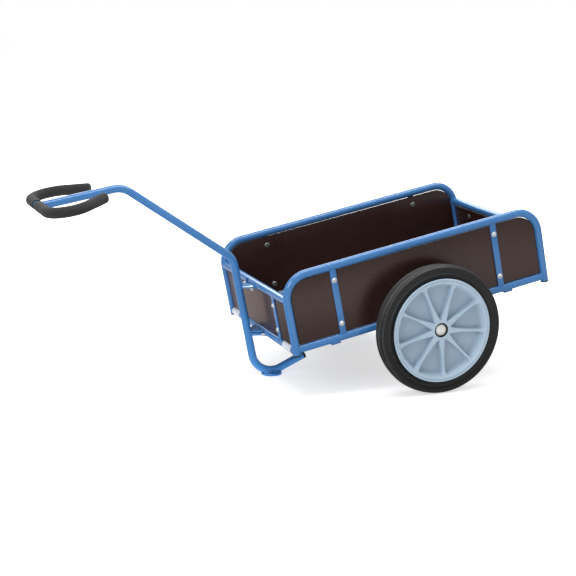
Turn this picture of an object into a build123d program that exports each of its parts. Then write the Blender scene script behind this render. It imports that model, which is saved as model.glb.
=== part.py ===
from build123d import *
import math
import os

os.makedirs("parts", exist_ok=True)

# ------------------------------------------------------------------ sizes, mm
# Bed frame: x forward to the drawbar, y to the left, z up from the bed,
# origin midway between the posts at the height of the bottom rails.
PITCH = 11.0            # the bed's nose-down angle when parked on its foot, degrees

FRAME_TUBE_R = 12.5     # side hoops and drawbar
CROSS_TUBE_R = 12.0     # rails and end tubes
BED_LENGTH = 862.0      # post centre to post centre
BED_WIDTH = 578.0       # hoop plane to hoop plane
HOOP_HEIGHT = 224.0     # bottom rail centre to top rail centre
HOOP_BEND_R = 72.0
POST_END_Z = -15.0
PLUG_T = 4.8

END_TOP_Z = 155.0       # upper end tubes
END_BOTTOM_Z = -4.0     # lower end tubes
SLEEVE_R = 13.4
SLEEVE_IN, SLEEVE_OUT = 201.0, 268.0

STRAP_W, STRAP_T, STRAP_OUT = 20.0, 4.0, 8.0    # STRAP_OUT is the outer face, from the tube centres
STRAP_SEAT = 0.03       # weld gap over the bottom rail
SIDE_STRAP_X = 274.0
END_STRAP_Y = 174.0

PANEL_T = 9.0
SIDE_PANEL_HALF_L, SIDE_PANEL_Z0, SIDE_PANEL_Z1 = 417.0, 14.0, 209.8
SIDE_PANEL_CORNER = 60.0
END_PANEL_HALF_W, END_PANEL_Z0, END_PANEL_Z1 = 275.0, 9.5, 139.5
FLOOR_HALF_L, FLOOR_HALF_W, FLOOR_T = 416.0, 274.0, 10.0

BEARER_X, BEARER_W, BEARER_T, BEARER_TOP = 300.0, 30.0, 8.0, -11.0
BEARER_HALF = 293.0

AXLE_X, AXLE_Z, AXLE_R, AXLE_HALF = -4.7, -37.05, 10.0, 384.0
HANGER_Y0, HANGER_Y1 = 283.0, 291.0
SPACER_R, SPACER_END = 15.0, 322.0
CAP_R, CAP_END, CAP_DOME = 18.2, 390.0, 394.0

WHEEL_R = 201.0
TYRE_Y0, TYRE_Y1, TYRE_SEAT_R, TYRE_SHOULDER = 342.0, 396.0, 158.5, 4.0
RIM_Y0, RIM_Y1, RIM_LIP_R, RIM_LIP_IN_R = 337.0, 401.0, 161.5, 147.5
WEB_Y0, WEB_Y1, WEB_R = 370.0, 375.0, 134.5    # the wall slopes from the lip in to WEB_R
HUB_R, HUB_Y0, HUB_Y1, HUB_RECESS_R, HUB_RECESS_Y = 32.0, 324.0, 393.0, 22.6, 381.0
BUSH_R, BUSH_BORE_R, BUSH_Y0 = 17.0, 10.05, 325.0
FLANGE_R, FLANGE_Y = 22.2, 383.0    # the bush's flange in the hub's recess
RIB_COUNT, RIB_PHASE = 9, 36.2
RIB_OUT_Y, RIB_IN_Y = 392.0, 350.0

DRAWBAR_X = 484.0       # upright of the drawbar
HANDLE_Z = 562.6
DRAWBAR_POINTS = [      # x, z, bend radius
    (1040.0, HANDLE_Z, 0.0),
    (781.2, HANDLE_Z - 6.5, 70.0),
    (DRAWBAR_X, 249.0, 60.0),
    (DRAWBAR_X, -162.5, 69.0),
    (318.8, -125.35, 0.0),
]
TAIL_PLUG_T = 7.5

LOOP_R = 12.9
GRIP_R = 16.5
LOOP_FRONT_X, LOOP_CORNER_Y, LOOP_BEND_R = 1040.0, 252.0, 67.0
LOOP_DROOP = 4.5        # the arms' ends hang this far under the front bar
GRIP_END = (860.0, 95.0)
LOOP_SHORT = 0.022      # share of the arm that the tube stops short inside its foam
GRIP_GAP = (-3.0, -23.0)

PAD_R, PAD_T, PAD_X = 32.7, 8.0, 395.0    # PAD_X is along the floor

# ------------------------------------------------------------------ placing
COS, SIN = math.cos(math.radians(PITCH)), math.sin(math.radians(PITCH))
FLOOR_H = -AXLE_X * SIN + AXLE_Z * COS - WHEEL_R
POST_X, SIDE_Y = BED_LENGTH / 2, BED_WIDTH / 2
REAR_X = -(POST_X + FRAME_TUBE_R) * COS + (POST_END_Z - PLUG_T) * SIN
FRONT_X = LOOP_FRONT_X * COS + HANDLE_Z * SIN + GRIP_R
MID_X = (REAR_X + FRONT_X) / 2
TILT = Location((0, 0, 0), (0, PITCH, 0))
SHIFT = Location((-MID_X, 0, -FLOOR_H))


def world(x, z):
    """Bed x, z to the stored frame's x, z in mm."""
    return x * COS + z * SIN - MID_X, -x * SIN + z * COS - FLOOR_H


def put(name, shape, tilted=True):
    place = SHIFT * TILT if tilted else SHIFT
    if isinstance(shape, (list, tuple)):
        placed = Compound(children=[place * one for one in shape])
    else:
        placed = place * shape
    export_step(placed, f"parts/{name}.step")


# ------------------------------------------------------------------ helpers
def bent(points, radii):
    pts = [Vector(*p) for p in points]
    edges, prev = [], pts[0]
    for i in range(1, len(pts) - 1):
        a = (pts[i - 1] - pts[i]).normalized()
        b = (pts[i + 1] - pts[i]).normalized()
        half = math.acos(max(-1.0, min(1.0, a.dot(b)))) / 2
        t = radii[i] / math.tan(half)
        m = (a + b).normalized()
        start, end = pts[i] + a * t, pts[i] + b * t
        mid = pts[i] + m * (radii[i] / math.sin(half) - radii[i])
        edges += [Line(prev, start), ThreePointArc(start, mid, end)]
        prev = end
    edges.append(Line(prev, pts[-1]))
    return Wire([e.edge() if not isinstance(e, Edge) else e for e in edges])


def pipe(points, radii, r, bore=0.0):
    path = bent(points, radii)
    start = Vector(*points[0])
    aim = Vector(*points[1]) - start
    outer = sweep(Plane(origin=start, z_dir=aim) * Circle(r), path=path)
    if not bore:
        return outer
    return outer - sweep(Plane(origin=start, z_dir=aim) * Circle(bore), path=path)


def rod(p, q, r):
    p, q = Vector(*p), Vector(*q)
    return extrude(Plane(origin=p, z_dir=q - p) * Circle(r), amount=(q - p).length)


def block(x0, x1, y0, y1, z0, z1):
    return Pos((x0 + x1) / 2, (y0 + y1) / 2, (z0 + z1) / 2) * Box(x1 - x0, y1 - y0, z1 - z0)


def ring(r0, r1, y0, y1):
    """Ring about the y axis."""
    face = Circle(r1) - Circle(r0) if r0 else Circle(r1)
    return extrude(Plane(origin=(0, y0, 0), x_dir=(1, 0, 0), z_dir=(0, 1, 0)) * face, amount=y1 - y0)


def plate_xz(points, y0, y1):
    """Plate with an x, z outline between two y planes."""
    face = Plane(origin=(0, y0, 0), x_dir=(1, 0, 0), z_dir=(0, -1, 0)) * make_face(Polyline(*points, close=True))
    return extrude(face, amount=y1 - y0, dir=(0, 1, 0))


def solid(shape):
    parts = shape.solids()
    return max(parts, key=lambda s: s.volume)


# ------------------------------------------------------------------ bed frame
SIDES = {"left": 1, "right": -1}
ENDS = {"front": 1, "rear": -1}

plugs = [rod((e * POST_X, s * SIDE_Y, POST_END_Z - PLUG_T), (e * POST_X, s * SIDE_Y, POST_END_Z), FRAME_TUBE_R)
         for e in ENDS.values() for s in SIDES.values()]
put("post_plugs", plugs)

hoops, rails, end_top, end_bottom = {}, {}, {}, {}
for side, s in SIDES.items():
    y = s * SIDE_Y
    hoops[side] = pipe(
        [(POST_X, y, POST_END_Z), (POST_X, y, HOOP_HEIGHT), (-POST_X, y, HOOP_HEIGHT), (-POST_X, y, POST_END_Z)],
        [0, HOOP_BEND_R, HOOP_BEND_R, 0], FRAME_TUBE_R)
    rails[side] = solid(rod((-POST_X, y, 0), (POST_X, y, 0), CROSS_TUBE_R) - hoops[side])
    put(f"{side}_side_hoop", hoops[side])
    put(f"{side}_bottom_rail", rails[side])

for end, e in ENDS.items():
    x = e * POST_X
    top = rod((x, -SIDE_Y, END_TOP_Z), (x, SIDE_Y, END_TOP_Z), CROSS_TUBE_R)
    end_top[end] = solid(top - hoops["left"] - hoops["right"])
    low = rod((x, -SIDE_Y, END_BOTTOM_Z), (x, SIDE_Y, END_BOTTOM_Z), CROSS_TUBE_R)
    for other in [*hoops.values(), *rails.values(), *plugs]:
        low = low - other
    end_bottom[end] = solid(low)
    put(f"{end}_top_tube", end_top[end])
    put(f"{end}_bottom_tube", end_bottom[end])
    sleeves = []
    for s in SIDES.values():
        y0, y1 = sorted((s * SLEEVE_IN, s * SLEEVE_OUT))
        sleeves.append(Pos(x, 0, END_BOTTOM_Z) * ring(CROSS_TUBE_R, SLEEVE_R, y0, y1))
    put(f"{end}_end_sleeves", sleeves)

# ------------------------------------------------------------------ walls
for side, s in SIDES.items():
    y0, y1 = sorted((s * (SIDE_Y + STRAP_OUT - STRAP_T), s * (SIDE_Y + STRAP_OUT)))
    seat = rod((-POST_X, s * SIDE_Y, 0), (POST_X, s * SIDE_Y, 0), CROSS_TUBE_R + STRAP_SEAT)
    straps = [solid(block(x - STRAP_W / 2, x + STRAP_W / 2, y0, y1, 3, HOOP_HEIGHT - 3) - seat - hoops[side])
              for x in (SIDE_STRAP_X, -SIDE_STRAP_X)]
    put(f"{side}_side_straps", straps)
    y0, y1 = sorted((s * (SIDE_Y + STRAP_OUT - STRAP_T - PANEL_T), s * (SIDE_Y + STRAP_OUT - STRAP_T)))
    panel = block(-SIDE_PANEL_HALF_L, SIDE_PANEL_HALF_L, y0, y1, SIDE_PANEL_Z0, SIDE_PANEL_Z1)
    corners = panel.edges().filter_by(Axis.Y).sort_by(Axis.Z)[-2:]
    put(f"{side}_side_panel", fillet(corners, SIDE_PANEL_CORNER))

for end, e in ENDS.items():
    x0, x1 = sorted((e * (POST_X + STRAP_OUT - STRAP_T), e * (POST_X + STRAP_OUT)))
    straps = [solid(block(x0, x1, y - STRAP_W / 2, y + STRAP_W / 2, END_BOTTOM_Z + 3, END_TOP_Z - 3)
                    - end_top[end] - end_bottom[end]) for y in (END_STRAP_Y, -END_STRAP_Y)]
    put(f"{end}_straps", straps)
    x0, x1 = sorted((e * (POST_X + STRAP_OUT - STRAP_T - PANEL_T), e * (POST_X + STRAP_OUT - STRAP_T)))
    put(f"{end}_panel", block(x0, x1, -END_PANEL_HALF_W, END_PANEL_HALF_W, END_PANEL_Z0, END_PANEL_Z1))

# ------------------------------------------------------------------ floor and axle
put("floor_panel", block(-FLOOR_HALF_L, FLOOR_HALF_L, -FLOOR_HALF_W, FLOOR_HALF_W, BEARER_TOP, BEARER_TOP + FLOOR_T))
bearers = [solid(block(x - BEARER_W / 2, x + BEARER_W / 2, -BEARER_HALF, BEARER_HALF, BEARER_TOP - BEARER_T, BEARER_TOP)
                 - rails["left"] - rails["right"]) for x in (BEARER_X, -BEARER_X)]
put("floor_bearers", bearers)

axle = rod((AXLE_X, -AXLE_HALF, AXLE_Z), (AXLE_X, AXLE_HALF, AXLE_Z), AXLE_R)
put("axle", axle)
HANGER = [(-48, -4), (48, -4), (48, -20), (18, -50), (9, -58), (-9, -58), (-18, -50), (-48, -20)]
spacers, caps = [], []
for side, s in SIDES.items():
    y0, y1 = sorted((s * HANGER_Y0, s * HANGER_Y1))
    hanger = plate_xz([(AXLE_X + x, z) for x, z in HANGER], y0, y1)
    put(f"{side}_axle_hanger", solid(hanger - rails[side] - axle))
    y0, y1 = sorted((s * HANGER_Y1, s * SPACER_END))
    spacers.append(Pos(AXLE_X, 0, AXLE_Z) * ring(AXLE_R, SPACER_R, y0, y1))
    y0, y1 = sorted((s * AXLE_HALF, s * CAP_END))
    cap = ring(0, CAP_R, y0, y1)
    y0, y1 = sorted((s * CAP_END, s * CAP_DOME))
    dome = ring(0, CAP_R, y0, y1)
    outer = [ed for ed in dome.edges() if abs(abs(ed.center().Y) - CAP_DOME) < 1e-6]
    caps.append(Pos(AXLE_X, 0, AXLE_Z) * (cap + fillet(outer, (CAP_DOME - CAP_END) * 0.9)))
put("axle_spacers", spacers)
put("axle_caps", caps)

# ------------------------------------------------------------------ wheels
RIB = [(28, 11.5), (40, 9.2), (60, 6.4), (90, 4.4), (117, 4.2), (133, 6.0), (142, 9.0), (150, 14.0)]    # r, half width
for side, s in SIDES.items():
    tyre = ring(TYRE_SEAT_R, WHEEL_R, TYRE_Y0, TYRE_Y1)
    rims = [ed for ed in tyre.edges() if abs(ed.length - 2 * math.pi * WHEEL_R) < 1.0]
    tyre = fillet(rims, TYRE_SHOULDER)
    profile = [             # r, y from the bore round the back, the seat and the front
        (BUSH_R, HUB_Y0), (HUB_R, HUB_Y0), (HUB_R, WEB_Y0), (WEB_R, WEB_Y0), (RIM_LIP_IN_R, RIM_Y0),
        (RIM_LIP_R, RIM_Y0), (RIM_LIP_R, TYRE_Y0), (TYRE_SEAT_R, TYRE_Y0), (TYRE_SEAT_R, TYRE_Y1),
        (RIM_LIP_R, TYRE_Y1), (RIM_LIP_R, RIM_Y1), (RIM_LIP_IN_R, RIM_Y1), (WEB_R, WEB_Y1), (HUB_R, WEB_Y1),
        (HUB_R, HUB_Y1), (HUB_RECESS_R, HUB_Y1), (HUB_RECESS_R, HUB_RECESS_Y), (BUSH_R, HUB_RECESS_Y),
    ]
    rim = revolve(make_face(Polyline(*profile, close=True)), axis=Axis.Y)
    outline = RIB + [(r, -w) for r, w in reversed(RIB)]
    rib = plate_xz(outline, RIB_IN_Y, RIB_OUT_Y)
    for k in range(RIB_COUNT):
        rim += Rot(0, -(RIB_PHASE + 360.0 / RIB_COUNT * k), 0) * rib
    bush = ring(BUSH_BORE_R, BUSH_R, BUSH_Y0, HUB_RECESS_Y) + ring(BUSH_BORE_R, FLANGE_R, HUB_RECESS_Y, FLANGE_Y)
    for name, shape in (("tyre", tyre), ("rim", solid(rim)), ("hub_bush", solid(bush))):
        if s < 0:
            shape = mirror(shape, about=Plane.XZ)
        put(f"{side}_{name}", Pos(AXLE_X, 0, AXLE_Z) * shape)

# ------------------------------------------------------------------ drawbar, foot and handle
GRIP_TIP = Vector(GRIP_END[0], GRIP_END[1], HANDLE_Z - LOOP_DROOP)
LOOP_TIP = GRIP_TIP + (Vector(LOOP_FRONT_X, LOOP_CORNER_Y, HANDLE_Z) - GRIP_TIP) * LOOP_SHORT
loop = pipe([(LOOP_TIP.X, LOOP_TIP.Y, LOOP_TIP.Z), (LOOP_FRONT_X, LOOP_CORNER_Y, HANDLE_Z),
             (LOOP_FRONT_X, -LOOP_CORNER_Y, HANDLE_Z), (LOOP_TIP.X, -LOOP_TIP.Y, LOOP_TIP.Z)],
            [0, LOOP_BEND_R, LOOP_BEND_R, 0], LOOP_R)
put("handle_loop", loop)
drawbar = pipe([(x, 0, z) for x, z, r in DRAWBAR_POINTS], [r for x, z, r in DRAWBAR_POINTS], FRAME_TUBE_R)
drawbar = solid(drawbar - loop)
put("drawbar_tube", drawbar)
for side, s in SIDES.items():
    gap = GRIP_GAP[0] if s > 0 else GRIP_GAP[1]
    grip = pipe([(GRIP_TIP.X, s * GRIP_TIP.Y, GRIP_TIP.Z), (LOOP_FRONT_X, s * LOOP_CORNER_Y, HANDLE_Z),
                 (LOOP_FRONT_X, gap, HANDLE_Z)], [0, LOOP_BEND_R, 0], GRIP_R, LOOP_R)
    put(f"{side}_grip", solid(grip - drawbar))

tail, knee = DRAWBAR_POINTS[-1], DRAWBAR_POINTS[-2]
away = Vector(tail[0] - knee[0], 0, tail[1] - knee[1]).normalized() * TAIL_PLUG_T
put("drawbar_end_plug", rod((tail[0], 0, tail[1]), (tail[0] + away.X, 0, tail[1] + away.Z), FRAME_TUBE_R))

pad = Pos(PAD_X, 0, FLOOR_H + PAD_T / 2) * Cylinder(PAD_R, PAD_T)
put("foot_pad", solid(pad - TILT * drawbar), tilted=False)

def gusset(x0, half, neck, z0, z1):
    """A level plate that widens from the drawbar to half at the end tube."""
    pts = [(x0, -half), (454, -half), (478, -neck), (DRAWBAR_X, -neck), (DRAWBAR_X, neck), (478, neck), (454, half), (x0, half)]
    return extrude(Pos(0, 0, z0) * make_face(Polyline(*pts, close=True)), amount=z1 - z0)


put("drawbar_upper_bracket", solid(gusset(436, 40, 10, 149, 153) - drawbar - end_top["front"]))
lower = gusset(439, 40, 10, 1.5, 5.5) + gusset(441, 36, 10, -12, -8) + block(446, DRAWBAR_X, -12, 12, -9, 2.5)
put("drawbar_lower_bracket", solid(lower - drawbar - end_bottom["front"]))

# ------------------------------------------------------------------ places for the record, m
print("mid_x", round(MID_X, 3), "floor_h", round(FLOOR_H, 3))
for name, x, z in (("axle", AXLE_X, AXLE_Z), ("floor_top", 0, BEARER_TOP + FLOOR_T), ("hoop_top", 0, HOOP_HEIGHT),
                   ("handle", LOOP_FRONT_X, HANDLE_Z), ("post_f", POST_X, 0), ("post_r", -POST_X, 0)):
    wx, wz = world(x, z)
    print(name, round(wx / 1000, 5), round(wz / 1000, 5))
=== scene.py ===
import math

import bmesh
import bpy
from mathutils import Matrix, Vector, noise


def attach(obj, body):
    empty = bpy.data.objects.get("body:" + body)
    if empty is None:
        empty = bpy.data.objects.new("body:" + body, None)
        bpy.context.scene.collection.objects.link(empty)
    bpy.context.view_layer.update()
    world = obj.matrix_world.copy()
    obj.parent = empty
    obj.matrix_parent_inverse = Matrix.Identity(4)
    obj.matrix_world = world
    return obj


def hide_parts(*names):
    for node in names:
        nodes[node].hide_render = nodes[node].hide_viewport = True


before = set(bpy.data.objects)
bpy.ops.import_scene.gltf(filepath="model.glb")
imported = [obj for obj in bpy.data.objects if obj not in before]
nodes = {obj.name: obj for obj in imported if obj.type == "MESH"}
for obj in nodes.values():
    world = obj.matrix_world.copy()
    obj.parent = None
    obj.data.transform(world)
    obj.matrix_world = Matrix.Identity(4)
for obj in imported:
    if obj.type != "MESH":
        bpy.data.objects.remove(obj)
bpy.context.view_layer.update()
scene = bpy.context.scene

# ------------------------------------------------------------------ the bed frame
# Sizes are in millimetres in the bed's own frame: x forward, y left, z up from the
# bottom rails. BED takes them to the row frame, with the bed nose down as it parks.
PITCH = math.radians(11.0)
MID_X, FLOOR_H = 352.80587, -236.47248
COS, SIN = math.cos(PITCH), math.sin(PITCH)
MM = Matrix.Scale(0.001, 4)
BED = MM @ Matrix(((COS, 0, SIN, -MID_X), (0, 1, 0, 0), (-SIN, 0, COS, -FLOOR_H), (0, 0, 0, 1)))

POST_X, SIDE_Y = 431.0, 289.0
STRAP_OUT, STRAP_T, STRAP_W, PANEL_T = 8.0, 4.0, 20.0, 9.0
SIDE_STRAP_X, END_STRAP_Y = 274.0, 174.0
SIDE_BOLT_Z, END_BOLT_Z = (181.0, 43.2), (118.0, 39.5)
AXLE_X, AXLE_Z = -4.7, -37.05
WEB_Y, TYRE_Y = 375.0, 369.0
RIBS, RIB_PHASE = 9, 36.2

# ------------------------------------------------------------------ materials


def material(name):
    m = bpy.data.materials.new(name)
    m.use_nodes = True
    return m, m.node_tree, m.node_tree.nodes["Principled BSDF"]


def coords(nt, scale=(1.0, 1.0, 1.0), kind="Object"):
    tex = nt.nodes.new("ShaderNodeTexCoord")
    mp = nt.nodes.new("ShaderNodeMapping")
    mp.inputs["Scale"].default_value = scale
    nt.links.new(tex.outputs[kind], mp.inputs["Vector"])
    return mp.outputs["Vector"]


def noise_tex(nt, vec, scale, detail=2.0, rough=0.5, warp=0.0):
    n = nt.nodes.new("ShaderNodeTexNoise")
    n.inputs["Scale"].default_value = scale
    n.inputs["Detail"].default_value = detail
    n.inputs["Roughness"].default_value = rough
    n.inputs["Distortion"].default_value = warp
    nt.links.new(vec, n.inputs["Vector"])
    return n.outputs["Fac"]


def cells(nt, vec, scale, feature="F1"):
    n = nt.nodes.new("ShaderNodeTexVoronoi")
    n.feature = feature
    n.inputs["Scale"].default_value = scale
    nt.links.new(vec, n.inputs["Vector"])
    return n.outputs["Distance"]


def ramp(nt, fac, stops):
    n = nt.nodes.new("ShaderNodeValToRGB")
    el = n.color_ramp.elements
    while len(el) < len(stops):
        el.new(0.5)
    for e, (pos, col) in zip(el, stops):
        e.position = pos
        e.color = (*col, 1.0) if isinstance(col, tuple) else (col, col, col, 1.0)
    nt.links.new(fac, n.inputs["Fac"])
    return n.outputs["Color"]


def remap(nt, fac, lo, hi, to_lo, to_hi):
    n = nt.nodes.new("ShaderNodeMapRange")
    for i, v in enumerate((lo, hi, to_lo, to_hi)):
        n.inputs[i + 1].default_value = v
    nt.links.new(fac, n.inputs[0])
    return n.outputs[0]


def times(nt, a, b, op="MULTIPLY"):
    n = nt.nodes.new("ShaderNodeMath")
    n.operation = op
    for sock, v in zip(n.inputs, (a, b)):
        if isinstance(v, float):
            sock.default_value = v
        else:
            nt.links.new(v, sock)
    return n.outputs[0]


def mix(nt, fac, a, b, how="MIX"):
    n = nt.nodes.new("ShaderNodeMix")
    n.data_type = "RGBA"
    n.blend_type = how
    for sock, v in ((n.inputs[0], fac), (n.inputs[6], a), (n.inputs[7], b)):
        if isinstance(v, tuple):
            sock.default_value = (*v, 1.0)
        elif isinstance(v, float):
            sock.default_value = v
        else:
            nt.links.new(v, sock)
    return n.outputs[2]


def bump(nt, height, strength, distance, under=None):
    n = nt.nodes.new("ShaderNodeBump")
    n.inputs["Strength"].default_value = strength
    n.inputs["Distance"].default_value = distance
    nt.links.new(height, n.inputs["Height"])
    if under is not None:
        nt.links.new(under, n.inputs["Normal"])
    return n.outputs["Normal"]


def wire(nt, bsdf, **sockets):
    for name, v in sockets.items():
        sock = bsdf.inputs[name.replace("_", " ")]
        if hasattr(v, "node"):
            nt.links.new(v, sock)
        else:
            sock.default_value = v


def powder_coat():
    m, nt, b = material("blue_powder_coat")
    v = coords(nt)
    cloud = noise_tex(nt, v, 7.0, 3.0)
    base = ramp(nt, cloud, [(0.3, (0.037, 0.163, 0.408)), (0.7, (0.043, 0.182, 0.447))])
    spots = remap(nt, noise_tex(nt, v, 330.0, 2.0), 0.70, 0.74, 0.0, 1.0)
    places = remap(nt, noise_tex(nt, v, 13.0, 2.0), 0.58, 0.68, 0.0, 0.6)
    chips = times(nt, spots, places)
    base = mix(nt, chips, base, (0.30, 0.36, 0.44))
    rough = remap(nt, noise_tex(nt, v, 90.0, 3.0), 0.3, 0.7, 0.25, 0.36)
    peel = noise_tex(nt, v, 460.0, 1.0)
    wire(nt, b, Base_Color=base, Roughness=times(nt, rough, times(nt, chips, 0.3), "ADD"), Coat_Weight=0.9, Coat_Roughness=0.06, Coat_IOR=1.62, Specular_IOR_Level=0.1,
         Normal=bump(nt, peel, 0.10, 0.0004))
    return m


def ply_film():
    m, nt, b = material("phenolic_film")
    v = coords(nt)
    cloud = noise_tex(nt, v, 9.0, 4.0, 0.6)
    base = ramp(nt, cloud, [(0.3, (0.025, 0.0102, 0.0081)), (0.7, (0.032, 0.0132, 0.0105))])
    grain = noise_tex(nt, coords(nt, (9.0, 260.0, 260.0)), 1.0, 3.0, 0.6)
    marks = remap(nt, noise_tex(nt, coords(nt, (5.0, 900.0, 900.0)), 1.0, 1.0), 0.71, 0.76, 0.0, 0.16)
    base = mix(nt, marks, base, (0.085, 0.055, 0.044))
    rough = remap(nt, cloud, 0.3, 0.7, 0.25, 0.31)
    slow = bump(nt, noise_tex(nt, v, 16.0, 1.0), 0.05, 0.0012)
    wire(nt, b, Base_Color=base, Roughness=times(nt, rough, times(nt, marks, 0.25), "ADD"), IOR=1.63,
         Specular_Tint=(1.0, 0.86, 0.82, 1.0),
         Normal=bump(nt, grain, 0.07, 0.0002, slow))
    return m


def ply_edge():
    m, nt, b = material("ply_edge")
    uv = nt.nodes.new("ShaderNodeUVMap")
    uv.uv_map = "grain"
    sep = nt.nodes.new("ShaderNodeSeparateXYZ")
    nt.links.new(uv.outputs["UV"], sep.inputs[0])
    layers = times(nt, times(nt, times(nt, sep.outputs["Y"], 4.8), 0.0, "ADD"), 0.0, "SINE")
    fibre = noise_tex(nt, coords(nt, (140.0, 140.0, 900.0)), 1.0, 3.0, 0.65)
    # the edge's dark brown is partly the sealed edge's own colour and partly a painted shade for the shadow the rails
    # cast on the board tops
    base = ramp(nt, times(nt, remap(nt, layers, -1.0, 1.0, 0.0, 0.6), times(nt, fibre, 0.6), "ADD"),
                [(0.15, (0.050, 0.034, 0.026)), (0.55, (0.115, 0.084, 0.066)), (0.95, (0.185, 0.142, 0.112))])
    wire(nt, b, Base_Color=base, Roughness=remap(nt, fibre, 0.3, 0.7, 0.6, 0.85), Normal=bump(nt, fibre, 0.3, 0.0004))
    return m


def zinc(name="zinc_plate", dark=(0.66, 0.70, 0.74), light=(0.88, 0.91, 0.94), rough=(0.22, 0.36), metal=0.65):
    m, nt, b = material(name)
    v = coords(nt)
    spangle = noise_tex(nt, v, 170.0, 3.0, 0.6)
    wire(nt, b, Base_Color=ramp(nt, spangle, [(0.3, dark), (0.7, light)]), Metallic=metal,
         Roughness=remap(nt, noise_tex(nt, v, 260.0, 2.0), 0.3, 0.7, *rough),
         Normal=bump(nt, noise_tex(nt, v, 900.0, 1.0), 0.08, 0.0003))
    return m


def moulded(name, dark, light, rough, grain=900.0, depth=0.12, scale=8.0, low=None):
    """Moulded plastic; low is the colour of a painted shade that dims it in the low, recessed places, read from the
    mesh's UV layer of painted light by height.
    """
    m, nt, b = material(name)
    v = coords(nt)
    base = ramp(nt, noise_tex(nt, v, scale, 3.0), [(0.3, dark), (0.7, light)])
    if low:
        uv = nt.nodes.new("ShaderNodeUVMap")
        uv.uv_map = "wear"
        lit_by_height = nt.nodes.new("ShaderNodeSeparateXYZ")
        nt.links.new(uv.outputs["UV"], lit_by_height.inputs[0])
        base = mix(nt, 1.0, base, mix(nt, lit_by_height.outputs["X"], low, (1.0, 1.0, 1.0)), "MULTIPLY")
    wire(nt, b, Base_Color=base,
         Roughness=remap(nt, noise_tex(nt, v, 60.0, 3.0), 0.3, 0.7, *rough),
         Normal=bump(nt, noise_tex(nt, v, grain, 2.0), depth, 0.0003))
    return m


def rubber():
    m, nt, b = material("tyre_rubber")
    v = coords(nt)
    cloud = noise_tex(nt, v, 14.0, 4.0, 0.6)
    base = ramp(nt, cloud, [(0.3, (0.0065, 0.0066, 0.0069)), (0.7, (0.0110, 0.0111, 0.0114))])
    dust = remap(nt, noise_tex(nt, v, 210.0, 3.0, 0.7), 0.55, 0.75, 0.0, 0.25)
    base = mix(nt, dust, base, (0.034, 0.033, 0.031))
    # paler where the rubber stands out on a rib: a painted highlight on the tread ribs and the flank ridge
    uv = nt.nodes.new("ShaderNodeUVMap")
    uv.uv_map = "wear"
    lit_by_height = nt.nodes.new("ShaderNodeSeparateXYZ")
    nt.links.new(uv.outputs["UV"], lit_by_height.inputs[0])
    base = mix(nt, lit_by_height.outputs["X"], base, (0.036, 0.036, 0.038))
    wire(nt, b, Base_Color=base, Roughness=remap(nt, cloud, 0.3, 0.7, 0.36, 0.47), IOR=1.46,
         Normal=bump(nt, noise_tex(nt, v, 800.0, 2.0), 0.15, 0.0003))
    return m


def foam():
    m, nt, b = material("grip_foam")
    v = coords(nt)
    pores = cells(nt, v, 950.0)
    cloud = noise_tex(nt, v, 24.0, 3.0)
    base = mix(nt, 1.0, ramp(nt, pores, [(0.05, 0.42), (0.55, 1.0)]),
               ramp(nt, cloud, [(0.3, (0.0125, 0.0125, 0.013)), (0.7, (0.0195, 0.0195, 0.020))]), "MULTIPLY")
    wire(nt, b, Base_Color=base, Roughness=remap(nt, cloud, 0.3, 0.7, 0.82, 0.95), Sheen_Weight=0.06, Sheen_Roughness=0.6,
         Normal=bump(nt, pores, 0.45, 0.0006))
    return m


BLUE = powder_coat()
FILM = ply_film()
EDGE = ply_edge()
ZINC = zinc()
# the sleeves' near-white, bluish, weakly metallic colour is partly the zinc plating and partly a painted highlight
SLEEVE = zinc("sleeve_zinc_and_highlight", (0.70, 0.75, 0.82), (0.84, 0.88, 0.93), (0.34, 0.46), 0.35)
CAP = zinc("cap_bright", (0.80, 0.79, 0.76), (0.94, 0.93, 0.90), (0.26, 0.40), 0.55)
DARK_BOLT = zinc("dark_bolt", (0.21, 0.22, 0.225), (0.33, 0.34, 0.345), (0.42, 0.56), 1.0)
BLACK = moulded("black_plastic", (0.012, 0.012, 0.013), (0.022, 0.022, 0.023), (0.38, 0.52))
# the rim's low colour is a painted shade that darkens the web, the recesses between the ribs and the rim's back
RIM = moulded("rim_plastic", (0.375, 0.488, 0.60), (0.41, 0.523, 0.635), (0.40, 0.52), 1100.0, 0.06, 8.0, (0.84, 0.84, 0.85))
BUSH = moulded("bush_plastic", (0.014, 0.014, 0.015), (0.026, 0.026, 0.027), (0.45, 0.6))
TYRE = rubber()
FOAM = foam()

# ------------------------------------------------------------------ mesh tools


def along(at, axis, up="Y"):
    """A matrix with its local Z on axis, at the point at."""
    m = Vector(axis).to_track_quat("Z", up).to_matrix().to_4x4()
    m.translation = Vector(at)
    return m


def piece(name, bm, mats, body, stands_for=(), sharp=32.0, to_row=BED):
    bmesh.ops.remove_doubles(bm, verts=bm.verts, dist=1e-4)
    bm.transform(to_row)
    bmesh.ops.recalc_face_normals(bm, faces=bm.faces)
    me = bpy.data.meshes.new(name)
    bm.to_mesh(me)
    bm.free()
    for m in mats:
        me.materials.append(m)
    me.polygons.foreach_set("use_smooth", [True] * len(me.polygons))
    me.set_sharp_from_angle(angle=math.radians(sharp))
    obj = bpy.data.objects.new(name, me)
    scene.collection.objects.link(obj)
    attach(obj, body)
    if stands_for:
        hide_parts(*stands_for)
    return obj


def join_rings(bm, rings, closed=False):
    pairs = list(zip(rings, rings[1:]))
    if closed:
        pairs.append((rings[-1], rings[0]))
    for a, b in pairs:
        n = max(len(a), len(b))
        for k in range(n):
            j = (k + 1) % n
            if len(a) == 1:
                bm.faces.new((a[0], b[j], b[k]))
            elif len(b) == 1:
                bm.faces.new((a[k], a[j], b[0]))
            else:
                bm.faces.new((a[k], a[j], b[j], b[k]))


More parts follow.
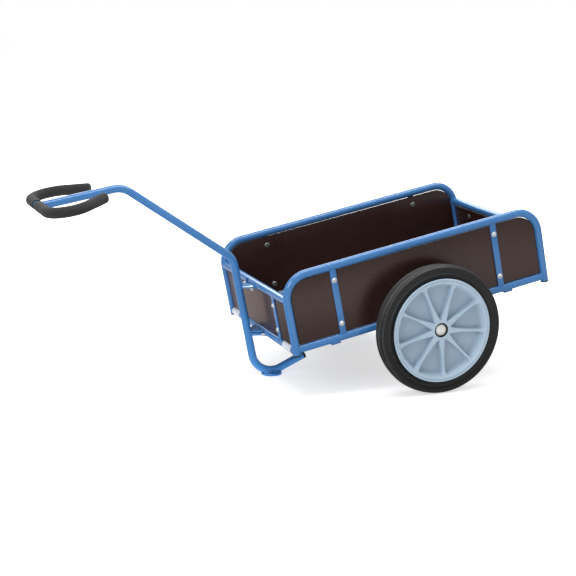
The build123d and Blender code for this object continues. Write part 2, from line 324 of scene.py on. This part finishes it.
def lathe(bm, profile, n, m, closed=False):
    """Turns (radius, height) points about local Z; a radius of 0 closes the end."""
    rings = []
    for r, h in profile:
        if r < 1e-6:
            rings.append([bm.verts.new(m @ Vector((0, 0, h)))])
        else:
            rings.append([bm.verts.new(m @ Vector((r * math.cos(2 * math.pi * k / n), r * math.sin(2 * math.pi * k / n), h)))
                          for k in range(n)])
    join_rings(bm, rings, closed)


def sweep(bm, pts, radii, n, closed=False):
    """A round bar along pts with a radius at each; open ends are closed by a point."""
    pts = [Vector(p) for p in pts]
    count = len(pts)
    tangents = []
    for i in range(count):
        a = pts[i - 1] if (closed or i) else pts[0]
        b = pts[(i + 1) % count] if (closed or i < count - 1) else pts[-1]
        tangents.append((b - a).normalized())
    side = tangents[0].orthogonal().normalized()
    rings = []
    for p, t, r in zip(pts, tangents, radii):
        side = (side - t * side.dot(t)).normalized()
        other = t.cross(side)
        rings.append([bm.verts.new(p + r * (math.cos(2 * math.pi * k / n) * side + math.sin(2 * math.pi * k / n) * other))
                      for k in range(n)])
    if not closed:
        rings.insert(0, [bm.verts.new(pts[0])])
        rings.append([bm.verts.new(pts[-1])])
    join_rings(bm, rings, closed)


def plate(bm, outline, m, t0, t1, edge=0.6, segments=2):
    """A flat outline in local x, y, from height t0 to t1 along local z, with rounded edges. Side faces take material 1."""
    part = bmesh.new()
    uv = part.loops.layers.uv.new("grain")
    lo = [part.verts.new((u, v, t0)) for u, v in outline]
    hi = [part.verts.new((u, v, t1)) for u, v in outline]
    part.faces.new(lo[::-1])
    part.faces.new(hi)
    for k in range(len(lo)):
        j = (k + 1) % len(lo)
        part.faces.new((lo[k], lo[j], hi[j], hi[k]))
    part.normal_update()
    hard = [e for e in part.edges if e.calc_face_angle(0.0) > math.radians(25)]
    bmesh.ops.bevel(part, geom=hard, offset=edge, segments=segments, profile=0.5, affect="EDGES", clamp_overlap=True)
    part.normal_update()
    for f in part.faces:
        f.material_index = 0 if abs(f.normal.z) > 0.55 else 1
        for lp in f.loops:
            lp[uv].uv = (lp.vert.co.x + lp.vert.co.y, lp.vert.co.z)
    part.transform(m)
    tmp = bpy.data.meshes.new("tmp")
    part.to_mesh(tmp)
    part.free()
    bm.from_mesh(tmp)
    bpy.data.meshes.remove(tmp)


def arc_path(points, radii, step):
    """Points along a run of straights with round corners; radii gives each inner corner's radius."""
    points = [Vector(p) for p in points]
    out = [points[0]]
    for a, b, c, r in zip(points, points[1:], points[2:], radii):
        u, v = (a - b).normalized(), (c - b).normalized()
        half = u.angle(v) / 2
        reach = r / math.tan(half)
        centre = b + (u + v).normalized() * (r / math.sin(half))
        start, stop = b + u * reach, b + v * reach
        turn = math.pi - 2 * half
        count = max(4, int(r * turn / step))
        e1 = (start - centre).normalized()
        e2 = ((stop - centre) - e1 * (stop - centre).dot(e1)).normalized()
        out += [centre + r * (math.cos(turn * i / count) * e1 + math.sin(turn * i / count) * e2) for i in range(count + 1)]
    out.append(points[-1])
    fine = []
    for a, b in zip(out, out[1:]):
        k = max(1, int((b - a).length / step))
        fine += [a.lerp(b, i / k) for i in range(k)]
    return fine + [out[-1]]


def rounded_box(x0, x1, y0, y1, r_front, top_only=False, steps=14, r_rear=None):
    corners = [(x1, y1, 0.0), (x0, y1, 90.0), (x0, y0, 180.0), (x1, y0, 270.0)]
    pts = []
    for x, y, start in corners:
        if top_only and start >= 180.0:
            pts.append((x, y))
            continue
        r = r_rear if r_rear and x == x0 else r_front
        cx, cy = x - r * (1 if x == x1 else -1), y - r * (1 if y == y1 else -1)
        pts += [(cx + r * math.cos(math.radians(start + 90.0 * i / steps)), cy + r * math.sin(math.radians(start + 90.0 * i / steps)))
                for i in range(steps + 1)]
    return pts


def box_outline(x0, x1, y0, y1):
    return [(x0, y0), (x1, y0), (x1, y1), (x0, y1)]


def lerp_table(table, r):
    if r <= table[0][0]:
        return table[0][1]
    for (a, ya), (b, yb) in zip(table, table[1:]):
        if r <= b:
            return ya + (yb - ya) * (r - a) / (b - a)
    return table[-1][1]


def ease(t):
    t = min(1.0, max(0.0, t))
    return t * t * (3 - 2 * t)


def smooth_max(a, b, k):
    h = min(1.0, max(0.0, 0.5 + 0.5 * (b - a) / k))
    return a + (b - a) * h + k * h * (1 - h)


# local plate axes: side plates stand in x, z and end plates in y, z
FACE_LEFT = Matrix(((1, 0, 0, 0), (0, 0, 1, 0), (0, 1, 0, 0), (0, 0, 0, 1)))
FACE_FRONT = Matrix(((0, 0, 1, 0), (1, 0, 0, 0), (0, 1, 0, 0), (0, 0, 0, 1)))
FLAT = Matrix.Identity(4)

# ------------------------------------------------------------------ carried-over CAD nodes
KEPT = {
    "left_side_hoop": BLUE, "right_side_hoop": BLUE, "left_bottom_rail": BLUE, "right_bottom_rail": BLUE,
    "front_top_tube": BLUE, "rear_top_tube": BLUE, "front_bottom_tube": BLUE, "rear_bottom_tube": BLUE,
    "left_axle_hanger": BLUE, "right_axle_hanger": BLUE, "drawbar_tube": BLUE, "handle_loop": BLUE,
    "front_end_sleeves": SLEEVE, "rear_end_sleeves": SLEEVE, "axle": ZINC,
    "axle_spacers": ZINC, "post_plugs": BLACK, "drawbar_end_plug": BLACK, "left_hub_bush": BUSH, "right_hub_bush": BUSH,
}
for name, mat in KEPT.items():
    nodes[name].data.materials.clear()
    nodes[name].data.materials.append(mat)

# ------------------------------------------------------------------ walls and floor
wall_out = SIDE_Y + STRAP_OUT - STRAP_T
for side, sy in (("left", 1), ("right", -1)):
    bm = bmesh.new()
    outline = [(x, z + (z - 14.0) / 195.8 * 0.6 * x / 417.0) for x, z in rounded_box(-417.0, 417.0, 14.0, 209.8, 60.0, True, 14, 55.0)]
    plate(bm, outline, FACE_LEFT, sy * (wall_out - PANEL_T), sy * wall_out, 0.9, 3)
    piece(f"{side}_wall_board", bm, [FILM, EDGE], "cart", [f"{side}_side_panel"])
    bm = bmesh.new()
    for x in (-SIDE_STRAP_X, SIDE_STRAP_X):
        plate(bm, box_outline(x - STRAP_W / 2, x + STRAP_W / 2, 8.0, 215.0), FACE_LEFT,
              sy * (wall_out + 0.02), sy * (wall_out + STRAP_T), 0.9, 3)
    piece(f"{side}_wall_straps", bm, [BLUE, BLUE], "cart", [f"{side}_side_straps"])

end_out = POST_X + STRAP_OUT - STRAP_T
for end, sx in (("front", 1), ("rear", -1)):
    bm = bmesh.new()
    plate(bm, rounded_box(-275.0, 275.0, 9.5, 139.5, 4.0), FACE_FRONT, sx * (end_out - PANEL_T), sx * end_out, 0.9, 3)
    piece(f"{end}_wall_board", bm, [FILM, EDGE], "cart", [f"{end}_panel"])
    bm = bmesh.new()
    for y in (-END_STRAP_Y, END_STRAP_Y):
        plate(bm, box_outline(y - STRAP_W / 2, y + STRAP_W / 2, 3.0, 148.0), FACE_FRONT,
              sx * (end_out + 0.02), sx * (end_out + STRAP_T), 0.9, 3)
    piece(f"{end}_wall_straps", bm, [BLUE, BLUE], "cart", [f"{end}_straps"])

bm = bmesh.new()
plate(bm, box_outline(-416.0, 416.0, -274.0, 274.0), FLAT, -11.0, -1.0, 0.9, 3)
piece("floor_board", bm, [FILM, EDGE], "cart", ["floor_panel"])

bm = bmesh.new()
for x in (-300.0, 300.0):
    plate(bm, box_outline(x - 15.0, x + 15.0, -290.0, 290.0), FLAT, -19.0, -11.02, 0.9, 3)
piece("floor_cross_bars", bm, [BLUE, BLUE], "cart", ["floor_bearers"])

# ------------------------------------------------------------------ bolts
HEAD = [(0, 3.0), (2.1, 3.0), (2.5, 4.9), (3.4, 5.1), (4.8, 4.5), (6.0, 3.2), (6.6, 1.7), (7.9, 1.6), (8.5, 1.2), (8.6, 0.5),
        (8.6, -0.3), (0, -0.3)]
DOME = [(0, 1.0), (2.5, 1.0), (2.9, 2.5), (3.6, 2.7), (5.6, 2.5), (7.4, 1.9), (8.7, 1.0), (9.2, 0.3), (9.2, -0.3), (0, -0.3)]
bm_out, bm_in = bmesh.new(), bmesh.new()
for sy in (1, -1):
    for x in (-SIDE_STRAP_X, SIDE_STRAP_X):
        for z in SIDE_BOLT_Z:
            lathe(bm_out, HEAD, 32, along((x, sy * (wall_out + STRAP_T), z), (0, sy, 0), "X"))
            lathe(bm_in, DOME, 28, along((x, sy * (wall_out - PANEL_T), z), (0, -sy, 0), "X"))
for sx in (1, -1):
    for y in (-END_STRAP_Y, END_STRAP_Y):
        for z in END_BOLT_Z:
            lathe(bm_out, HEAD, 32, along((sx * (end_out + STRAP_T), y, z), (sx, 0, 0)))
            lathe(bm_in, DOME, 28, along((sx * (end_out - PANEL_T), y, z), (-sx, 0, 0)))
piece("wall_bolts", bm_out, [ZINC], "cart")
piece("wall_bolt_ends", bm_in, [DARK_BOLT], "cart")

# ------------------------------------------------------------------ weld beads


def bead_size(i, n, size, turns):
    return size * (1.0 + 0.14 * math.sin(2 * math.pi * turns * i / n) + 0.10 * noise.noise(Vector((i * 0.37, size, turns))))


def saddle_weld(bm, at, a, b, r, big, size=1.7, n=84):
    """The bead where a tube of radius r leaves, along a, a tube of radius big whose axis is b."""
    at, a, b = Vector(at), Vector(a).normalized(), Vector(b).normalized()
    s = a.cross(b)
    pts = []
    for i in range(n):
        p = 2 * math.pi * i / n
        pts.append(at + a * math.sqrt(max(big * big - (r * math.sin(p)) ** 2, 0.0)) + r * (math.cos(p) * b + math.sin(p) * s))
    sweep(bm, pts, [bead_size(i, n, size, 24) for i in range(n)], 8, True)


def line_weld(bm, p, q, size=1.8, n=18):
    p, q = Vector(p), Vector(q)
    pts = [p.lerp(q, i / n) for i in range(n + 1)]
    radii = [bead_size(i, n, size, 5) * (0.55 if i in (0, n) else 1.0) for i in range(n + 1)]
    sweep(bm, pts, radii, 8)


bm = bmesh.new()
for sx in (1, -1):
    for sy in (1, -1):
        post = lambda z: (sx * POST_X, sy * SIDE_Y, z)
        saddle_weld(bm, post(0.0), (-sx, 0, 0), (0, 0, 1), 12.0, 12.5)
        saddle_weld(bm, post(-4.0), (0, -sy, 0), (0, 0, 1), 12.0, 12.5)
        saddle_weld(bm, post(155.0), (0, -sy, 0), (0, 0, 1), 12.0, 12.5)
        x = sx * SIDE_STRAP_X
        line_weld(bm, (x - 8.5, sy * (wall_out + STRAP_T - 0.4), 8.6), (x + 8.5, sy * (wall_out + STRAP_T - 0.4), 8.6))
        line_weld(bm, (x - 8.5, sy * (wall_out + STRAP_T - 0.8), 214.2), (x + 8.5, sy * (wall_out + STRAP_T - 0.8), 214.2))
        y = sy * END_STRAP_Y
        line_weld(bm, (sx * (end_out + STRAP_T - 0.4), y - 8.5, 4.4), (sx * (end_out + STRAP_T - 0.4), y + 8.5, 4.4))
        line_weld(bm, (sx * (end_out + STRAP_T - 0.8), y - 8.5, 146.6), (sx * (end_out + STRAP_T - 0.8), y + 8.5, 146.6))
piece("frame_welds", bm, [BLUE], "cart")

# ------------------------------------------------------------------ wheels
RIB = [(28, 11.0), (40, 8.2), (60, 5.2), (90, 3.0), (117, 2.7), (133, 4.0), (142, 7.0), (150, 12.5)]
DRAFT = 2.7
# radius and height from the web's outer face, outside and inside
FRONT = [(22.6, 17.3), (23.2, 18.0), (29.6, 18.0), (30.6, 17.5), (31.3, 16.0), (33.2, 3.0), (34.4, 0.8), (36.5, 0.0), (132.5, 0.0),
         (134.9, 0.8), (136.9, 3.2), (145.9, 22.4), (146.9, 24.3), (148.3, 25.2), (149.7, 25.5), (152.7, 25.6), (153.9, 24.3),
         (154.8, 23.8), (155.7, 24.4), (156.9, 25.7), (159.7, 25.9), (160.8, 25.3), (161.4, 24.2), (161.5, 22.6)]
BACK = [(17.9, 51.0), (29.6, 51.0), (30.6, 50.4), (31.3, 49.0), (33.2, 8.0), (34.4, 5.8), (36.5, 5.0), (132.5, 5.0), (134.9, 5.8),
        (136.9, 8.5), (145.9, 34.4), (146.9, 36.3), (148.3, 37.2), (149.7, 37.5), (156.9, 37.8), (159.7, 37.9), (160.8, 37.3),
        (161.4, 36.2), (161.5, 34.6)]
RINGS = [22.6, 23.2, 25, 27.2, 29.6, 30.6, 31.3, 31.9, 32.5, 33.2, 34.4, 36.5, 39, 43, 48, 54, 61, 69, 77, 85, 93, 101, 109, 115, 120,
         124, 127.5, 130.5, 132.5, 134.9, 136.9, 138.7, 140.5, 142.3, 144.1, 145.9, 146.9, 148.3, 149.7, 151.2, 152.7, 153.9, 154.8,
         155.7, 156.9, 158.3, 159.7, 160.8, 161.4, 161.5]
BACK_RINGS = [17.9] + [r for r in RINGS if r > 20 and r not in (151.2, 153.9, 154.8, 155.7)]
RIB_TOP = [(28, 17.8), (40, 17.5), (60, 17.8), (100, 19.2), (130, 20.8), (142, 21.8), (150, 25.0)]
RIB_BACK = [(28, 36.0), (40, 27.5), (60, 24.0), (130, 24.0), (142, 27.0), (150, 34.0)]


def rim_columns(r):
    """Distances from a rib's middle line, over half a bay, that follow the rib's edges at radius r."""
    w = lerp_table(RIB, r)
    half = r * math.sin(math.pi / RIBS)
    marks = [0.55 * w, w - 1.0, w - 0.3, w + 0.15 * DRAFT, w + 0.4 * DRAFT, w + 0.7 * DRAFT, w + DRAFT, w + DRAFT + 1.0, w + DRAFT + 2.4]
    if marks[-1] > 0.94 * half:
        marks = [v * 0.94 * half / marks[-1] for v in marks]
    room = half - marks[-1]
    marks += [marks[-1] + room * f for f in (0.2, 0.4, 0.6, 0.8)]
    return [math.asin(min(1.0, v / r)) for v in marks]


def rim_height(base, tops, floor_h, r, d):
    low = lerp_table(base, r)
    w = lerp_table(RIB, r)
    t = (w + DRAFT - abs(d)) / DRAFT
    top = lerp_table(tops, r)
    rib = floor_h + (top - floor_h) * ease(t) if t > 0 else floor_h + t * DRAFT
    if r < 27 or r > 149:
        return low
    return smooth_max(low, rib, 0.9)


def wheel_ring(bm, sy, r, height):
    cols = rim_columns(r)
    angles = [-math.pi / RIBS] + [-a for a in cols[::-1]] + [0.0] + cols
    ring = []
    for k in range(RIBS):
        mid = math.radians(RIB_PHASE) + 2 * math.pi * k / RIBS
        for a in angles:
            h = height(r, r * math.sin(a)) if callable(height) else height
            th = mid + a
            ring.append(bm.verts.new((AXLE_X + r * math.cos(th), sy * (WEB_Y + h), AXLE_Z + r * math.sin(th))))
    return ring


CROWN = 201.0
# middle, half width and depth of each groove round the tread
GROOVES = ((-13.0, 8.2, 4.8), (13.0, 8.2, 4.8))


def tread_r(h):
    """Crown radius across the tread: three ribs with broad grooves between them."""
    r = CROWN - 0.0060 * h * h
    for at, wide, deep in GROOVES:
        d = abs(h - at)
        if d < wide:
            r -= deep * (0.5 + 0.5 * math.cos(math.pi * d / wide))
    return r


# radius and distance from the tread's middle, from the rim out to the tread's edge
FLANK = [(158.6, 20.1), (161.0, 20.5), (163.2, 20.3), (164.2, 21.1), (165.2, 22.3), (167.0, 23.1), (169.6, 23.7), (171.6, 24.5),
         (172.8, 25.7), (173.8, 26.6), (175.0, 27.0), (176.2, 26.7), (177.2, 25.7), (178.4, 24.7), (180.4, 24.2), (184.0, 24.1),
         (188.0, 24.5), (191.6, 25.4), (193.6, 26.3), (194.8, 26.7), (195.8, 26.7), (196.6, 26.3), (197.1, 25.6)]


def wear(r, h):
    """How far a point stands out on a rib, 0 to 1, which is where the rubber is painted paler as a painted highlight.
    """
    if r > 192.0:
        out = 1.0 - (CROWN - 0.0060 * h * h - r) / 3.2
    else:
        out = 0.62 - abs(r - 175.6) / 4.2
    return ease(out)


crown = [(tread_r(h), h) for h in [24.6 - 49.2 * i / 150 for i in range(151)]]
tyre_profile = FLANK + crown + [(r, -h) for r, h in FLANK[::-1]]

for side, sy in (("left", 1), ("right", -1)):
    body = f"{side}_wheel"
    bm = bmesh.new()
    rings = [wheel_ring(bm, sy, r, lambda r, d: rim_height(FRONT, RIB_TOP, 0.0, r, d)) for r in RINGS]
    rings += [wheel_ring(bm, sy, r, h) for r, h in ((159.9, 20.6), (158.2, 18.0), (158.2, -30.0), (159.9, -32.4))]
    rings += [wheel_ring(bm, sy, r, lambda r, d: -rim_height(BACK, RIB_BACK, 5.0, r, d)) for r in BACK_RINGS[::-1]]
    rings += [wheel_ring(bm, sy, r, h) for r, h in ((17.4, -50.4), (17.4, 5.4), (18.0, 6.0), (22.4, 6.0), (22.6, 6.6))]
    join_rings(bm, rings, True)
    # height above the web: it sets the painted shade on the web, between the ribs and on the rim's back
    layer = bm.loops.layers.uv.new("wear")
    for f in bm.faces:
        for lp in f.loops:
            lp[layer].uv = (ease((abs(lp.vert.co.y) - WEB_Y) / 12.0), 0.0)
    piece(f"{side}_ribbed_rim", bm, [RIM], body, [f"{side}_rim"], 40.0)
    bm = bmesh.new()
    lathe(bm, tyre_profile, 240, along((AXLE_X, sy * TYRE_Y, AXLE_Z), (0, sy, 0), "X"), True)
    # how far the rubber stands out on a rib, which sets the painted highlight on the tyre
    layer = bm.loops.layers.uv.new("wear")
    for f in bm.faces:
        for lp in f.loops:
            x, y, z = lp.vert.co
            lp[layer].uv = (wear(math.hypot(x - AXLE_X, z - AXLE_Z), abs(y) - TYRE_Y), 0.0)
    piece(f"{side}_grooved_tyre", bm, [TYRE], body, [f"{side}_tyre"], 40.0)

SEAT = [(19.9, 382.2), (22.5, 382.2), (22.5, 391.6), (22.2, 392.2), (21.4, 392.3), (20.8, 391.8), (20.2, 388.0)]
for side, sy in (("left", 1), ("right", -1)):
    bm = bmesh.new()
    lathe(bm, SEAT, 64, along((AXLE_X, 0.0, AXLE_Z), (0, sy, 0), "X"), True)
    piece(f"{side}_bush_lip", bm, [BUSH], f"{side}_wheel")

bm = bmesh.new()
CAP_SHAPE = [(0, 9.2), (0.9, 9.2), (1.5, 9.9), (4.4, 9.85), (9.0, 9.3), (13.0, 8.2), (15.8, 6.7), (17.4, 5.0), (18.1, 3.2), (18.2, 0.6),
             (17.8, 0.0), (10.2, 0.0), (10.2, -0.2), (0, -0.2)]
for sy in (1, -1):
    lathe(bm, CAP_SHAPE, 56, along((AXLE_X, sy * 384.0, AXLE_Z), (0, sy, 0), "X"))
piece("axle_end_caps", bm, [CAP], "cart", ["axle_caps"], 40.0)

# ------------------------------------------------------------------ handle
for side, sy, gap in (("left", 1, -3.0), ("right", -1, -23.0)):
    path = arc_path([(860.0, sy * 95.0, 558.1), (1040.0, sy * 252.0, 562.6), (1040.0, gap, 562.6)], [67.0], 3.0)
    reach = [0.0]
    for a, b in zip(path, path[1:]):
        reach.append(reach[-1] + (b - a).length)
    total = reach[-1]
    pts, radii = [], []
    for p, s in zip(path, reach):
        if 6.0 < s < total - 4.0:
            pts.append(p)
            radii.append(16.35 + 0.16 * noise.noise(p * 0.02) + 0.07 * noise.noise(p * 0.11))
    head = (path[1] - path[0]).normalized()
    tail = (path[-1] - path[-2]).normalized()
    first = [(path[0] + head * s, r) for s, r in ((0.0, 7.0), (0.25, 10.5), (0.9, 13.2), (2.0, 15.0), (3.6, 16.0), (5.4, 16.3))]
    last = [(path[-1] - tail * s, r) for s, r in ((3.4, 16.3), (2.0, 16.2), (0.9, 15.7), (0.25, 15.0), (0.0, 14.2))]
    pts = [p for p, r in first] + pts + [p for p, r in last]
    radii = [r for p, r in first] + radii + [r for p, r in last]
    bm = bmesh.new()
    sweep(bm, pts, radii, 44)
    grip = piece(f"{side}_foam_sleeve", bm, [FOAM], "cart", [f"{side}_grip"], 50.0)

# ------------------------------------------------------------------ foot and brackets
bm = bmesh.new()
lathe(bm, [(0, 8.0), (29.5, 8.0), (31.4, 7.4), (32.4, 6.2), (32.7, 5.0), (32.7, 1.4), (32.3, 0.4), (31.6, 0.0), (0, 0.0)], 96,
      Matrix.Translation((395.0 - MID_X, 0, 0)))
piece("foot_disc", bm, [BLUE], "cart", ["foot_pad"], 40.0, MM)



bm = bmesh.new()
for sy in (1, -1):
    path = [(395.0 - MID_X + 25.0 * math.sin(0.1 * i), sy * (6.5 + 7.5 * math.cos(0.1 * i)), 9.8) for i in range(-15, 16)]
    sweep(bm, path, [bead_size(i, 31, 4.4, 6) for i in range(31)], 10)
piece("foot_weld", bm, [BLUE], "cart", (), 40.0, MM)


def gusset(x0, half, neck, shoulder=454.0):
    """A level plate that widens from the drawbar to half at the end tube."""
    return [(x0, -half), (shoulder, -half), (478.0, -neck), (484.0, -neck), (484.0, neck), (478.0, neck), (shoulder, half), (x0, half)]


def hexagon(r):
    return [(r * math.cos(math.radians(60 * k)), r * math.sin(math.radians(60 * k))) for k in range(6)]


bm = bmesh.new()
plate(bm, gusset(436.0, 40.0, 10.0), FLAT, 149.0, 153.0, 0.9, 3)
piece("upper_bracket_plate", bm, [BLUE, BLUE], "cart", ["drawbar_upper_bracket"])
bm = bmesh.new()
plate(bm, gusset(439.0, 40.0, 10.0), FLAT, 1.5, 5.5, 0.9, 3)
plate(bm, gusset(441.0, 36.0, 9.0, 450.0), FLAT, -12.0, -2.5, 2.4, 3)
piece("lower_bracket_plates", bm, [BLUE, BLUE], "cart", ["drawbar_lower_bracket"])

bm, bm_strap = bmesh.new(), bmesh.new()
for sy in (1, -1):
    m = along((452.0, sy * 33.0, 0.0), (0, 0, 1))
    plate(bm, hexagon(6.4), m, 142.6, 148.8, 0.7, 2)
    lathe(bm, [(0, 138.4), (2.6, 138.4), (3.2, 139.2), (3.2, 142.8), (0, 142.8)], 20, m)
    lathe(bm, [(0, 155.4), (3.6, 155.4), (4.6, 155.0), (5.0, 154.2), (5.0, 152.8), (0, 152.8)], 28, m)
    m = along((447.0, sy * 36.0, -8.0), (0, sy, 0), "X")
    lathe(bm, [(0, 9.6), (2.6, 9.6), (3.2, 8.9), (3.2, 1.2), (0, 1.2)], 20, m)
    plate(bm, hexagon(6.4), m, 0.2, 5.4, 0.7, 2)
    # half clamps round the two end tubes
    for z, at in ((155.0, 37.0), (-4.0, 30.0)):
        pts = [(431.0 + 13.4 * math.cos(math.radians(a)), sy * at, z + 13.4 * math.sin(math.radians(a))) for a in range(-100, 56, 6)]
        for dy in (-3.0, 0.0, 3.0):
            sweep(bm_strap, [(x, y + dy, zz) for x, y, zz in pts], [1.9] * len(pts), 10)
piece("bracket_bolts", bm, [ZINC], "cart")
piece("bracket_clamps", bm_strap, [BLUE], "cart")

# ------------------------------------------------------------------ camera
cam_data = bpy.data.cameras.new("camera")
cam_data.sensor_width = 36.0
cam_data.lens = 94.527
cam_data.clip_end = 100.0
cam = bpy.data.objects.new("camera", cam_data)
scene.collection.objects.link(cam)
RIGHT = Vector((-0.93332721, 0.35902648, 0.00055808))
UP = Vector((-0.07924442, -0.20751982, 0.97501582))
AIM = Vector((-0.35017231, -0.90996457, -0.22213474))
m = Matrix((RIGHT, UP, -AIM)).transposed().to_4x4()
m.translation = Vector((1.67390365, 4.38762339, 1.34905299))
cam.matrix_world = m
scene.camera = cam

# ------------------------------------------------------------------ stage
scene.view_settings.view_transform = "Standard"

world = bpy.data.worlds.new("studio")
scene.world = world
world.use_nodes = True
nt = world.node_tree
bg = nt.nodes["Background"]
sky = nt.nodes.new("ShaderNodeTexCoord")
up = nt.nodes.new("ShaderNodeSeparateXYZ")
nt.links.new(sky.outputs["Generated"], up.inputs[0])
seen = nt.nodes.new("ShaderNodeLightPath").outputs["Is Camera Ray"]
glow = ramp(nt, up.outputs["Z"], [(0.0, 0.42), (0.25, 0.44), (0.7, 0.70)])
nt.links.new(mix(nt, seen, glow, (1.0, 1.0, 1.0)), bg.inputs["Color"])
bg.inputs["Strength"].default_value = 1.0

me = bpy.data.meshes.new("studio_floor")
bm = bmesh.new()
bmesh.ops.create_grid(bm, x_segments=1, y_segments=1, size=14.0)
bm.to_mesh(me)
bm.free()
floor = bpy.data.objects.new("studio_floor", me)
scene.collection.objects.link(floor)
fm, nt, b = material("studio_floor")
path = nt.nodes.new("ShaderNodeLightPath")
side = nt.nodes.new("ShaderNodeSeparateXYZ")
nt.links.new(coords(nt), side.inputs[0])
off_x = times(nt, side.outputs["X"], -0.08, "ADD")
off = times(nt, times(nt, off_x, off_x), times(nt, side.outputs["Y"], side.outputs["Y"]), "ADD")
# the floor glows though it is no lamp: diffuse rays see a painted pool of light near the cart, camera rays a floor that
# brightens with distance
pool = times(nt, path.outputs["Is Diffuse Ray"], remap(nt, off, 0.0, 0.16, 1.9, 0.42))
plain = times(nt, path.outputs["Is Camera Ray"], remap(nt, off, 0.3, 3.5, 0.60, 1.4))
lit = times(nt, plain, pool, "ADD")
nt.links.new(lit, b.inputs["Emission Strength"])
# glossy rays see a painted reflection colour across y: brownish on the -y side, dark across the middle, pale on the +y
# side
sheen = ramp(nt, remap(nt, side.outputs["Y"], -1.2, 1.2, 0.0, 1.0), [(0.12, (0.50, 0.44, 0.43)), (0.30, (0.44, 0.38, 0.37)), (0.42, 0.20), (0.74, 0.22), (0.92, 0.63)])
wire(nt, b, Base_Color=mix(nt, path.outputs["Is Glossy Ray"], (0.62, 0.62, 0.62), sheen), Roughness=0.9, Specular_IOR_Level=0.1,
     Emission_Color=(1, 1, 1, 1))
fm.cycles.emission_sampling = "NONE"
me.materials.append(fm)


def softbox(name, at, aim, size, glow):
    """A plain rectangular light whose face has the radiance glow."""
    data = bpy.data.lights.new(name, "AREA")
    data.shape = "RECTANGLE"
    data.size, data.size_y = size
    data.energy = glow * math.pi * size[0] * size[1]
    obj = bpy.data.objects.new(name, data)
    obj.matrix_world = along(at, Vector(at) - Vector(aim))
    scene.collection.objects.link(obj)
    return obj


softbox("top", (-0.3, 0.45, 3.2), (-0.2, 0.1, 0.3), (4.4, 0.9), 6.2)
softbox("back", (-0.8, -2.8, 2.3), (0.0, 0.0, 0.3), (4.0, 1.4), 3.4)
softbox("front", (3.0, 2.2, 2.3), (0.0, 0.0, 0.3), (1.8, 1.5), 5.4)
